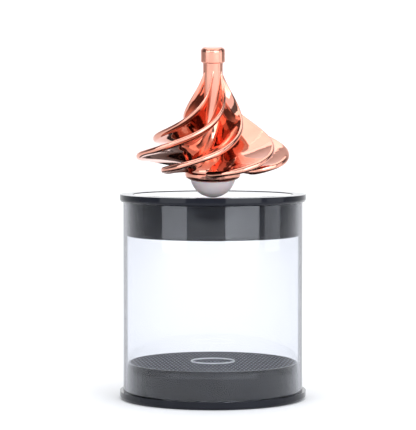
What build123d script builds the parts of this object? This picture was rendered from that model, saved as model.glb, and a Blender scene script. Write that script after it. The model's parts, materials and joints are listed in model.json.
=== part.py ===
"""A spinning top with swept blades, standing on the dished lid of its clear display case.

Millimetres, +Z up. The origin is the centre of the case's foot, on the surface that it stands on.
The top's own pieces are drawn about its own axis, from the ball's centre, and that axis leans.
"""

import os
from math import cos, radians, sin, sqrt

from build123d import *

# ---- Case ----
FLANGE_RADIUS = 23.0
FLANGE_HEIGHT = 2.0
FLANGE_EDGE = 1.2          # upright part of the flange's edge
FLANGE_UNDERCUT = 0.9      # how far the rounded underside draws in
FLANGE_ROUND = 0.96        # radius of the rounded underside
TUBE_OUTER_RADIUS = 22.15
TUBE_WALL = 0.5
TUBE_HEIGHT = 46.5
PLUG_CLEARANCE = 0.08      # radial gap between each cap's plug and the tube
CAP_WALL = 1.3

BASE_PLUG_HEIGHT = 7.0
BASE_DECK = 1.6            # thickness of the base cap's floor
BASE_LEAD = 0.7            # how far the plug's rounded shoulder draws in
BASE_LEAD_HEIGHT = 2.0     # height of that shoulder
BASE_RIM_ROUND = 0.2
FLOOR_RADIUS = 20.5
FLOOR_THICKNESS = 0.5      # the insert lies flush in a recess of this depth
SEAT_RING_RADIUS = 5.3
SEAT_RING_WIDTH = 0.36
SEAT_RING_HEIGHT = 0.3
SEAT_RING_SUNK = 0.2       # how deep the ring is set in the insert
SEAT_RING_ROUND = 0.14

LID_PLUG_HEIGHT = 8.3
SKIRT_ROUND = 0.9          # outer edge at the foot of the lid's skirt
LID_DECK = 1.4             # plate under the dish
DISH_RADIUS = 19.7
DISH_EDGE = 1.48           # dish thickness at its rim
DISH_STEP = 0.12           # how far the dish's rim lies below the lid's top
DISH_SAG = 0.78            # how far the dish's middle lies below its rim
DISH_GAP = 0.06            # radial gap round the dish

# ---- Top, measured from the ball's centre along its own axis ----
BALL_RADIUS = 5.65
BALL_LIFT = 0.03           # air under the ball
BALL_CLEARANCE = 0.05
TOP_LEAN = 7.7             # degrees from upright, towards -Y
COLLAR_RADIUS = 6.85
COLLAR_FOOT_RADIUS = 5.95
COLLAR_BOTTOM = -0.95
COLLAR_RIM_LOW = 0.1
COLLAR_RIM_HIGH = 0.75
COLLAR_TOP = 1.1
COLLAR_TOP_RADIUS = 6.5
COLLAR_GAP = 0.06          # running gap between the collar and the blades
CAVITY_CLEARANCE = 0.08    # radial gap between the ball and the body's hollow

BLADES = 6
TIP_BEARING = -155.0       # degrees, where the first blade's tip points
BLADE_THICKNESS = 1.45
BLADE_ROOT_RADIUS = 1.2
BLADE_ROOT_SOLID = 2.0     # inside this radius a blade grows no taller
BLADE_MIDDLE = 0.35        # share of the way from root to lip where the middle is set
LIP_SHARE = 0.45           # most of the outer part that the round lip may take up
BLADE_SLOPE = 6.0          # mm climbed for each radian of sweep, low on the blade
BLADE_EDGE = (             # a blade's outer edge: degrees of sweep, radius, height
    (0, 12.1, 1.9),
    (10, 15.2, 2.5),
    (25, 18.0, 3.6),
    (45, 18.9, 5.4),
    (65, 17.2, 7.4),
    (85, 14.0, 9.6),
    (110, 10.2, 12.2),
    (140, 7.1, 15.7),
    (170, 4.3, 20.8),
    (200, 2.4, 26.5),
)
NOSE_TURN = -4.0           # where the thin nose ahead of a blade's tip starts
NOSE_RADIUS = 11.2
NOSE_THICKNESS = 0.6

NECK_RADIUS = 2.45
NECK_TOP = 27.8
KNOB_RADIUS = 2.98
KNOB_HEIGHT = 3.75
KNOB_TOP_ROUND = 1.0
KNOB_FOOT_ROUND = 0.35
KNOB_PIN_RADIUS = 1.2
KNOB_PIN_LENGTH = 4.0

# ---- Worked out ----
TUBE_INNER_RADIUS = TUBE_OUTER_RADIUS - TUBE_WALL
PLUG_RADIUS = TUBE_INNER_RADIUS - PLUG_CLEARANCE
PLUG_INNER_RADIUS = PLUG_RADIUS - CAP_WALL
BASE_RIM_Z = FLANGE_HEIGHT + BASE_PLUG_HEIGHT
FLOOR_Z = BASE_RIM_Z - FLOOR_THICKNESS
TUBE_TOP_Z = FLANGE_HEIGHT + TUBE_HEIGHT
LID_TOP_Z = TUBE_TOP_Z + FLANGE_HEIGHT
DISH_RIM_Z = LID_TOP_Z - DISH_STEP
DISH_LOW_Z = DISH_RIM_Z - DISH_SAG
DISH_SEAT_Z = DISH_RIM_Z - DISH_EDGE
BALL_Z = DISH_LOW_Z + BALL_LIFT + BALL_RADIUS

TOP_DIRECTION = (0, -sin(radians(TOP_LEAN)), cos(radians(TOP_LEAN)))
TOP_SEAT = Plane(origin=(0, 0, BALL_Z), x_dir=(1, 0, 0), z_dir=TOP_DIRECTION)


def flange_profile(inner_radius, bottom):
    """Half section of a cap's flange: sharp top edge, rounded underside."""
    top = bottom + FLANGE_HEIGHT
    edge = top - FLANGE_EDGE
    drawn_in = FLANGE_RADIUS - FLANGE_UNDERCUT
    Line((inner_radius, bottom), (drawn_in, bottom))
    RadiusArc((drawn_in, bottom), (FLANGE_RADIUS, edge), -FLANGE_ROUND)
    Line((FLANGE_RADIUS, edge), (FLANGE_RADIUS, top))
    Line((FLANGE_RADIUS, top), (inner_radius, top))
    Line((inner_radius, top), (inner_radius, bottom))


def upright_half(radius, thickness):
    """Half of the height that a plate of this thickness has where an upright plane cuts it."""
    slope = BLADE_SLOPE / radius
    return thickness / 2 * sqrt(1 + slope * slope)


def blade_section(lip, height, thickness):
    """One blade's cut along an upright plane through the axis, from its root to its round lip."""
    middle = BLADE_ROOT_RADIUS + (lip - BLADE_ROOT_RADIUS) * BLADE_MIDDLE
    lip_half = upright_half(lip, thickness)
    middle_half = upright_half(middle, thickness)
    root_half = upright_half(BLADE_ROOT_SOLID, thickness)
    shoulder = lip - min(lip_half, LIP_SHARE * (lip - middle))
    root_low = (BLADE_ROOT_RADIUS, height - root_half)
    root_high = (BLADE_ROOT_RADIUS, height + root_half)
    lip_low = (shoulder, height - lip_half)
    lip_high = (shoulder, height + lip_half)
    Spline(root_low, (middle, height - middle_half), lip_low)
    ThreePointArc(lip_low, (lip, height), lip_high)
    Spline(lip_high, (middle, height + middle_half), root_high)
    Line(root_high, root_low)


# ---- Case pieces ----
with BuildPart() as base_cap:
    with BuildSketch(Plane.XZ):
        with BuildLine():
            flange_profile(PLUG_INNER_RADIUS, 0)
        make_face()
        with BuildLine():
            shoulder = TangentArc(
                (PLUG_RADIUS, BASE_RIM_Z - BASE_LEAD_HEIGHT),
                (PLUG_RADIUS - BASE_LEAD, BASE_RIM_Z),
                tangent=(0, 1),
            )
            Polyline(
                shoulder @ 1,
                (FLOOR_RADIUS, BASE_RIM_Z),
                (FLOOR_RADIUS, FLOOR_Z),
                (0, FLOOR_Z),
                (0, FLOOR_Z - BASE_DECK),
                (PLUG_INNER_RADIUS, FLOOR_Z - BASE_DECK),
                (PLUG_INNER_RADIUS, FLANGE_HEIGHT),
                (PLUG_RADIUS, FLANGE_HEIGHT),
                shoulder @ 0,
            )
        make_face()
    revolve(axis=Axis.Z)
    rim = base_cap.edges().filter_by(GeomType.CIRCLE).group_by(Axis.Z)[-1].sort_by(SortBy.RADIUS)[-1]
    fillet(rim, BASE_RIM_ROUND)
base_cap.part.label = "base_cap"

with BuildPart() as floor_insert:
    with BuildSketch(Plane.XY.offset(FLOOR_Z)):
        Circle(FLOOR_RADIUS - DISH_GAP)
    extrude(amount=FLOOR_THICKNESS)
    with BuildSketch(Plane.XY.offset(FLOOR_Z + FLOOR_THICKNESS)):
        Circle(SEAT_RING_RADIUS + SEAT_RING_WIDTH / 2)
        Circle(SEAT_RING_RADIUS - SEAT_RING_WIDTH / 2, mode=Mode.SUBTRACT)
    extrude(amount=-SEAT_RING_SUNK, mode=Mode.SUBTRACT)
floor_insert.part.label = "floor_insert"

with BuildPart() as seat_ring:
    with BuildSketch(Plane.XY.offset(FLOOR_Z + FLOOR_THICKNESS - SEAT_RING_SUNK)):
        Circle(SEAT_RING_RADIUS + SEAT_RING_WIDTH / 2)
        Circle(SEAT_RING_RADIUS - SEAT_RING_WIDTH / 2, mode=Mode.SUBTRACT)
    extrude(amount=SEAT_RING_HEIGHT + SEAT_RING_SUNK)
    fillet(seat_ring.edges().group_by(Axis.Z)[-1], SEAT_RING_ROUND)
seat_ring.part.label = "seat_ring"

with BuildPart() as clear_tube:
    with BuildSketch(Plane.XY.offset(FLANGE_HEIGHT)):
        Circle(TUBE_OUTER_RADIUS)
        Circle(TUBE_INNER_RADIUS, mode=Mode.SUBTRACT)
    extrude(amount=TUBE_HEIGHT)
clear_tube.part.label = "clear_tube"

with BuildPart() as lid_cap:
    with BuildSketch(Plane.XZ):
        with BuildLine():
            flange_profile(DISH_RADIUS + DISH_GAP, TUBE_TOP_Z)
        make_face()
        with BuildLine():
            Polyline(
                (DISH_RADIUS + DISH_GAP, TUBE_TOP_Z),
                (PLUG_RADIUS, TUBE_TOP_Z),
                (PLUG_RADIUS, TUBE_TOP_Z - LID_PLUG_HEIGHT),
                (PLUG_INNER_RADIUS, TUBE_TOP_Z - LID_PLUG_HEIGHT),
                (PLUG_INNER_RADIUS, DISH_SEAT_Z - LID_DECK),
                (0, DISH_SEAT_Z - LID_DECK),
                (0, DISH_SEAT_Z),
                (DISH_RADIUS + DISH_GAP, DISH_SEAT_Z),
                close=True,
            )
        make_face()
    revolve(axis=Axis.Z)
    skirt = lid_cap.edges().filter_by(GeomType.CIRCLE).group_by(Axis.Z)[0].sort_by(SortBy.RADIUS)[-1]
    fillet(skirt, SKIRT_ROUND)
lid_cap.part.label = "lid_cap"

with BuildPart() as lid_dish:
    with BuildSketch(Plane.XZ):
        with BuildLine():
            Line((0, DISH_SEAT_Z), (DISH_RADIUS, DISH_SEAT_Z))
            Line((DISH_RADIUS, DISH_SEAT_Z), (DISH_RADIUS, DISH_RIM_Z))
            bowl = (DISH_RADIUS**2 + DISH_SAG**2) / (2 * DISH_SAG)
            RadiusArc((DISH_RADIUS, DISH_RIM_Z), (0, DISH_LOW_Z), bowl)
            Line((0, DISH_LOW_Z), (0, DISH_SEAT_Z))
        make_face()
    revolve(axis=Axis.Z)
lid_dish.part.label = "lid_dish"

# ---- Pieces of the top ----
with BuildPart(TOP_SEAT) as ball:
    Sphere(BALL_RADIUS)
ball.part.label = "ball"

with BuildPart() as upright_collar:
    with BuildSketch(Plane.XZ):
        with BuildLine():
            Line((0, COLLAR_BOTTOM), (COLLAR_FOOT_RADIUS, COLLAR_BOTTOM))
            Spline(
                (COLLAR_FOOT_RADIUS, COLLAR_BOTTOM),
                (COLLAR_RADIUS, COLLAR_RIM_LOW),
                tangents=[(1, 0.5), (0, 1)],
            )
            Line((COLLAR_RADIUS, COLLAR_RIM_LOW), (COLLAR_RADIUS, COLLAR_RIM_HIGH))
            Spline(
                (COLLAR_RADIUS, COLLAR_RIM_HIGH),
                (COLLAR_TOP_RADIUS, COLLAR_TOP),
                tangents=[(0, 1), (-1, 0)],
            )
            Polyline((COLLAR_TOP_RADIUS, COLLAR_TOP), (0, COLLAR_TOP), (0, COLLAR_BOTTOM))
        make_face()
    revolve(axis=Axis.Z)
    Sphere(BALL_RADIUS + BALL_CLEARANCE, mode=Mode.SUBTRACT)

with BuildPart(TOP_SEAT) as ball_collar:
    add(upright_collar.part)
ball_collar.part.label = "ball_collar"

nose = (NOSE_TURN, NOSE_RADIUS, BLADE_EDGE[0][2], NOSE_THICKNESS)
stations = [nose] + [(*station, BLADE_THICKNESS) for station in BLADE_EDGE]
with BuildPart() as one_blade:
    for turn, radius, height, thickness in stations:
        with BuildSketch(Plane.XZ.rotated((0, 0, TIP_BEARING + turn))):
            with BuildLine():
                blade_section(radius, height, thickness)
            make_face()
    loft()

with BuildPart() as upright_body:
    with BuildSketch(Plane.XZ):
        with BuildLine():
            core = Spline(
                (6.2, COLLAR_TOP + COLLAR_GAP),
                (5.5, 4.0),
                (3.2, 8.0),
                (2.1, 14.0),
                (NECK_RADIUS, NECK_TOP),
                tangents=[(0, 1), (0, 1)],
            )
            Polyline(core @ 1, (0, NECK_TOP), (0, COLLAR_TOP + COLLAR_GAP), core @ 0)
        make_face()
    revolve(axis=Axis.Z)
    with PolarLocations(0, BLADES):
        add(one_blade.part)
    with BuildSketch(Plane.XY.offset(COLLAR_TOP + COLLAR_GAP)):
        Circle(COLLAR_RADIUS + COLLAR_GAP)
    extrude(amount=-BALL_RADIUS, mode=Mode.SUBTRACT)
    with BuildSketch(Plane.XY.offset(NECK_TOP)):
        Circle(2 * NECK_RADIUS)
    extrude(amount=KNOB_HEIGHT, mode=Mode.SUBTRACT)
    Sphere(BALL_RADIUS + CAVITY_CLEARANCE, mode=Mode.SUBTRACT)
    with BuildSketch(Plane.XY.offset(NECK_TOP)):
        Circle(KNOB_PIN_RADIUS)
    extrude(amount=-KNOB_PIN_LENGTH, mode=Mode.SUBTRACT)

with BuildPart(TOP_SEAT) as blade_body:
    add(upright_body.part)
blade_body.part.label = "blade_body"

with BuildPart() as upright_knob:
    with BuildSketch(Plane.XY.offset(NECK_TOP)):
        Circle(KNOB_RADIUS)
    extrude(amount=KNOB_HEIGHT)
    fillet(upright_knob.edges().group_by(Axis.Z)[-1], KNOB_TOP_ROUND)
    fillet(upright_knob.edges().group_by(Axis.Z)[0], KNOB_FOOT_ROUND)
    with BuildSketch(Plane.XY.offset(NECK_TOP)):
        Circle(KNOB_PIN_RADIUS)
    extrude(amount=-KNOB_PIN_LENGTH)

with BuildPart(TOP_SEAT) as knob:
    add(upright_knob.part)
knob.part.label = "knob"

os.makedirs("parts", exist_ok=True)
export_step(base_cap.part, "parts/base_cap.step")
export_step(floor_insert.part, "parts/floor_insert.step")
export_step(seat_ring.part, "parts/seat_ring.step")
export_step(clear_tube.part, "parts/clear_tube.step")
export_step(lid_cap.part, "parts/lid_cap.step")
export_step(lid_dish.part, "parts/lid_dish.step")
export_step(ball.part, "parts/ball.step")
export_step(ball_collar.part, "parts/ball_collar.step")
export_step(blade_body.part, "parts/blade_body.step")
export_step(knob.part, "parts/knob.step")
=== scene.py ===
"""Materials, stage, lights and camera for the spinning top on its clear display case.

Metres, +Z up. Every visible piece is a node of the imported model, unmoved.
"""

import json
import math

import bpy
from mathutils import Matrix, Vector


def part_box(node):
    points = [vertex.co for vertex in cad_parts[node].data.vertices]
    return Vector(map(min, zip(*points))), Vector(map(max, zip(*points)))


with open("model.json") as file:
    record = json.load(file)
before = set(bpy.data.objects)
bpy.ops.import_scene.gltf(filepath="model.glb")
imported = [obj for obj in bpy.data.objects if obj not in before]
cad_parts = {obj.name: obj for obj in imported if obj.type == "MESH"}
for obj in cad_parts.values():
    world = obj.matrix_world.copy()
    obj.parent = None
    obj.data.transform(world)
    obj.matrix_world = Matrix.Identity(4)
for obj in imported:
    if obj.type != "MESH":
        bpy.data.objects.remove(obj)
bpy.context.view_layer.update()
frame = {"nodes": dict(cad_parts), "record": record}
MM = 0.001


# ---- Node helpers ----
def new_material(name):
    """A material with only a Principled surface, its tree and that shader."""
    material = bpy.data.materials.new(name)
    material.use_nodes = True
    tree = material.node_tree
    return material, tree, tree.nodes["Principled BSDF"]


def node(tree, kind, inputs=None, **settings):
    """Adds a node, sets its properties, then its inputs: values are set, sockets are linked."""
    made = tree.nodes.new(kind)
    for key, value in settings.items():
        setattr(made, key, value)
    for key, value in (inputs or {}).items():
        if isinstance(value, bpy.types.NodeSocket):
            tree.links.new(value, made.inputs[key])
        else:
            made.inputs[key].default_value = value
    return made


def noise(tree, scale, detail=3.0, roughness=0.5):
    """Noise over the piece's own metres."""
    place = node(tree, "ShaderNodeTexCoord").outputs["Object"]
    made = node(
        tree, "ShaderNodeTexNoise",
        {"Vector": place, "Scale": scale, "Detail": detail, "Roughness": roughness},
    )
    return made.outputs["Fac"]


def spread(tree, value, low, high, from_low=0.3, from_high=0.7):
    """Maps a 0 to 1 value onto a range."""
    made = node(
        tree, "ShaderNodeMapRange",
        {
            "Value": value, "From Min": from_low, "From Max": from_high,
            "To Min": low, "To Max": high,
        },
    )
    return made.outputs["Result"]


def blend_colours(tree, value, first, second):
    """Mixes two colours by a 0 to 1 value."""
    made = node(tree, "ShaderNodeMix", data_type="RGBA")
    tree.links.new(value, made.inputs[0])
    made.inputs[6].default_value = (*first, 1)
    made.inputs[7].default_value = (*second, 1)
    return made.outputs[2]


def colour_between(tree, shader, value, first, second):
    """Colours the surface between two colours by a 0 to 1 value."""
    tree.links.new(blend_colours(tree, value, first, second), shader.inputs["Base Color"])


def roughness_between(tree, shader, value, low, high):
    """Spreads the roughness over a range by a 0 to 1 value."""
    tree.links.new(spread(tree, value, low, high), shader.inputs["Roughness"])


def bump(tree, shader, height, distance, strength=1.0, after=None):
    """Adds a bump, distance in metres, to the shader, and returns its normal."""
    made = node(
        tree, "ShaderNodeBump", {"Height": height, "Distance": distance, "Strength": strength},
    )
    if after is not None:
        tree.links.new(after, made.inputs["Normal"])
    tree.links.new(made.outputs["Normal"], shader.inputs["Normal"])
    return made.outputs["Normal"]


# ---- Materials ----
def rose_gold():
    """Bright rose-gold plating: faint casting waves, slightly varied colour and polish."""
    material, tree, shader = new_material("rose_gold_plating")
    shader.inputs["Metallic"].default_value = 1.0
    tone = spread(tree, noise(tree, 180, 2), 0, 1)
    colour_between(tree, shader, tone, (0.69, 0.31, 0.23), (0.74, 0.35, 0.26))
    roughness_between(tree, shader, noise(tree, 900, 4), 0.03, 0.09)
    waves = bump(tree, shader, noise(tree, 260, 2), 0.00004)
    bump(tree, shader, noise(tree, 2500, 3), 0.000002, after=waves)
    return material


def black_plastic():
    """Polished black moulding with faint smudges."""
    material, tree, shader = new_material("black_gloss_plastic")
    tone = spread(tree, noise(tree, 120, 3), 0, 1)
    colour_between(tree, shader, tone, (0.006, 0.007, 0.011), (0.011, 0.012, 0.017))
    shader.inputs["Specular IOR Level"].default_value = 0.2
    roughness_between(tree, shader, noise(tree, 400, 5), 0.05, 0.11)
    bump(tree, shader, noise(tree, 90, 2), 0.00001)
    return material


def dish_gloss():
    """Mirror-black dish with fine rings worn by the spinning ball."""
    material, tree, shader = new_material("dish_mirror_black")
    shader.inputs["Base Color"].default_value = (0.008, 0.008, 0.010, 1)
    shader.inputs["Coat Weight"].default_value = 1.0
    shader.inputs["Coat Roughness"].default_value = 0.02
    shader.inputs["Coat IOR"].default_value = 1.8
    place = node(tree, "ShaderNodeTexCoord").outputs["Object"]
    flat = node(tree, "ShaderNodeVectorMath", {0: place, 1: (1, 1, 0)}, operation="MULTIPLY")
    radius = node(tree, "ShaderNodeVectorMath", {0: flat.outputs[0]}, operation="LENGTH")
    rings = node(
        tree, "ShaderNodeTexNoise",
        {"W": radius.outputs["Value"], "Scale": 9000.0, "Detail": 2.0}, noise_dimensions="1D",
    )
    roughness_between(tree, shader, rings.outputs["Fac"], 0.02, 0.07)
    bump(tree, shader, rings.outputs["Fac"], 0.0000006)
    return material


def woven_floor():
    """Dark sheet with a raised weave of two sets of threads that cross at a small angle."""
    material, tree, shader = new_material("floor_woven_sheet")
    place = node(tree, "ShaderNodeTexCoord").outputs["Object"]
    threads = []
    for angle in (math.radians(10), math.radians(-10)):
        turned = node(tree, "ShaderNodeMapping", {"Vector": place, "Rotation": (0, 0, angle)})
        wave = node(
            tree, "ShaderNodeTexWave",
            {"Vector": turned.outputs[0], "Scale": 320.0, "Distortion": 0.25},
        )
        threads.append(wave.outputs["Fac"])
    crossing = node(
        tree, "ShaderNodeMath", {0: threads[0], 1: threads[1]}, operation="MULTIPLY",
    )
    weave = crossing.outputs[0]
    colour_between(tree, shader, weave, (0.005, 0.006, 0.010), (0.27, 0.285, 0.36))
    shader.inputs["Specular IOR Level"].default_value = 0.03
    roughness_between(tree, shader, noise(tree, 700, 3), 0.4, 0.6)
    bump(tree, shader, weave, 0.00008)
    return material


def bright_ring():
    """Turned bright metal ring."""
    material, tree, shader = new_material("seat_ring_bright")
    shader.inputs["Metallic"].default_value = 0.5
    tone = spread(tree, noise(tree, 900, 3), 0, 1)
    colour_between(tree, shader, tone, (0.88, 0.88, 0.90), (0.96, 0.96, 0.97))
    roughness_between(tree, shader, noise(tree, 2500, 3), 0.35, 0.5)
    return material


def clear_plastic():
    """Clear polished tube: an absorbing blue tint, and a painted dark rim where it is seen
    edge-on, painted shade in place of dark surroundings mirrored there.
    """
    material, tree, shader = new_material("tube_clear_plastic")
    # Painted shade: a facing mask darkens the base colour to near black where the tube is seen
    # edge-on, a painted dark outline instead of a reflection.
    facing = node(tree, "ShaderNodeLayerWeight", {"Blend": 0.3}).outputs["Facing"]
    painted_rim_shade = spread(tree, facing, 0, 1, from_low=0.57, from_high=0.61)
    colour_between(tree, shader, painted_rim_shade, (1, 1, 1), (0.02, 0.02, 0.025))
    shader.inputs["Transmission Weight"].default_value = 1.0
    shader.inputs["IOR"].default_value = 1.38
    tint = node(
        tree, "ShaderNodeVolumeAbsorption", {"Color": (0.45, 0.51, 0.64, 1), "Density": 420.0},
    )
    tree.links.new(tint.outputs[0], tree.nodes["Material Output"].inputs["Volume"])
    roughness_between(tree, shader, noise(tree, 250, 3), 0.0, 0.02)
    return material


def satin_ball():
    """Satin pinkish-white ball."""
    material, tree, shader = new_material("ball_satin_white")
    tone = spread(tree, noise(tree, 350, 4), 0, 1)
    colour_between(tree, shader, tone, (0.98, 0.84, 0.85), (0.99, 0.88, 0.89))
    shader.inputs["Subsurface Weight"].default_value = 0.25
    shader.inputs["Subsurface Scale"].default_value = 0.002
    roughness_between(tree, shader, noise(tree, 1200, 4), 0.30, 0.42)
    bump(tree, shader, noise(tree, 3000, 2), 0.000004)
    return material


MATERIALS = {
    "rose_gold": rose_gold(),
    "cap_plastic": black_plastic(),
    "dish_gloss": dish_gloss(),
    "floor_weave": woven_floor(),
    "seat_metal": bright_ring(),
    "tube_clear": clear_plastic(),
    "ball_satin": satin_ball(),
}
for subpart in frame["record"]["subparts"]:
    piece = frame["nodes"][subpart["node"]]
    for material_slot in piece.material_slots:
        material_slot.material = MATERIALS[subpart["material_slot"]]


# ---- Floor and backdrop ----
def build_stage():
    """A wide pale floor that curves up into a backdrop behind the case."""
    width, front, back, height, bend, bend_steps = 12.0, -6.0, 0.9, 1.6, 0.4, 12
    outline = [(front, 0.0), (back - bend, 0.0)]
    for step in range(1, bend_steps + 1):
        angle = math.radians(90 * step / bend_steps)
        outline.append((back - bend + bend * math.sin(angle), bend * (1 - math.cos(angle))))
    outline.append((back, height))
    vertices = [(side * width / 2, y, z) for y, z in outline for side in (-1, 1)]
    faces = [(2 * i, 2 * i + 1, 2 * i + 3, 2 * i + 2) for i in range(len(outline) - 1)]
    mesh = bpy.data.meshes.new("studio_floor")
    mesh.from_pydata(vertices, [], faces)
    mesh.shade_smooth()
    floor = bpy.data.objects.new("studio_floor", mesh)
    material, tree, shader = new_material("studio_pale")
    shader.inputs["Base Color"].default_value = (0.93, 0.93, 0.93, 1)
    shader.inputs["Roughness"].default_value = 0.9
    floor.data.materials.append(material)
    bpy.context.scene.collection.objects.link(floor)


build_stage()


# ---- Lights ----
COOL = (0.92, 0.95, 1.0)
WHITE = (1, 1, 1)


def area_light(name, place, target, size, power, colour):
    """A soft rectangular light that faces a point; size in metres, power in watts."""
    light = bpy.data.lights.new(name, "AREA")
    light.shape = "RECTANGLE"
    light.size, light.size_y = size
    light.energy = power
    light.color = colour
    lamp = bpy.data.objects.new(name, light)
    lamp.location = place
    lamp.rotation_euler = (Vector(target) - Vector(place)).to_track_quat("-Z", "Y").to_euler()
    bpy.context.scene.collection.objects.link(lamp)


case_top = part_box("lid_cap")[1].z
AIM = (0, 0, case_top)
# The low softboxes stand where the lid's upright skirt mirrors them as pale bands.
area_light("softbox_left", (-0.38, -0.32, 0.15), AIM, (0.32, 0.50), 1.15, COOL)
area_light("softbox_right", (0.31, -0.40, 0.15), AIM, (0.44, 0.50), 2.05, COOL)
area_light("softbox_far_right", (0.50, -0.08, 0.15), AIM, (0.24, 0.50), 0.45, COOL)
area_light("softbox_front", (0.0, -0.47, 0.34), AIM, (0.8, 0.4), 1.3, COOL)
area_light("strip_front", (0.0, -0.80, 0.17), AIM, (1.0, 0.14), 1.8, COOL)
area_light("softbox_top", (0.0, 0.1, 0.8), AIM, (1.0, 0.8), 4.7, WHITE)
area_light("backdrop_wash", (0.0, 0.2, 0.8), (0, 0.9, 0.6), (1.8, 0.5), 6.4, WHITE)

world = bpy.data.worlds.new("studio_world")
world.use_nodes = True
background = world.node_tree.nodes["Background"]
background.inputs["Color"].default_value = (0.9, 0.92, 1.0, 1)
background.inputs["Strength"].default_value = 0.2
bpy.context.scene.world = world
bpy.context.scene.view_settings.view_transform = "Standard"

# ---- Camera: level with the top's neck, half a metre away ----
IMAGE_HEIGHT = 430              # pixels on the long side, which the sensor's width covers
METRES_PER_PIXEL = 0.2468 * MM  # at the case's axis
SENSOR_WIDTH = 24.0             # millimetres, as the lens
CAMERA_DISTANCE = 0.5375
CAMERA_Z = case_top + 0.0244
VIEW_CENTRE = Vector((-0.0012, 0, case_top - 0.0052))

camera_data = bpy.data.cameras.new("camera")
camera = bpy.data.objects.new("camera", camera_data)
camera.location = (VIEW_CENTRE.x, -CAMERA_DISTANCE, CAMERA_Z)
sight = VIEW_CENTRE - camera.location
camera.rotation_euler = sight.to_track_quat("-Z", "Y").to_euler()
camera_data.sensor_width = SENSOR_WIDTH
camera_data.lens = SENSOR_WIDTH * sight.length / (IMAGE_HEIGHT * METRES_PER_PIXEL)
camera_data.clip_start = 0.01
bpy.context.scene.collection.objects.link(camera)
bpy.context.scene.camera = camera
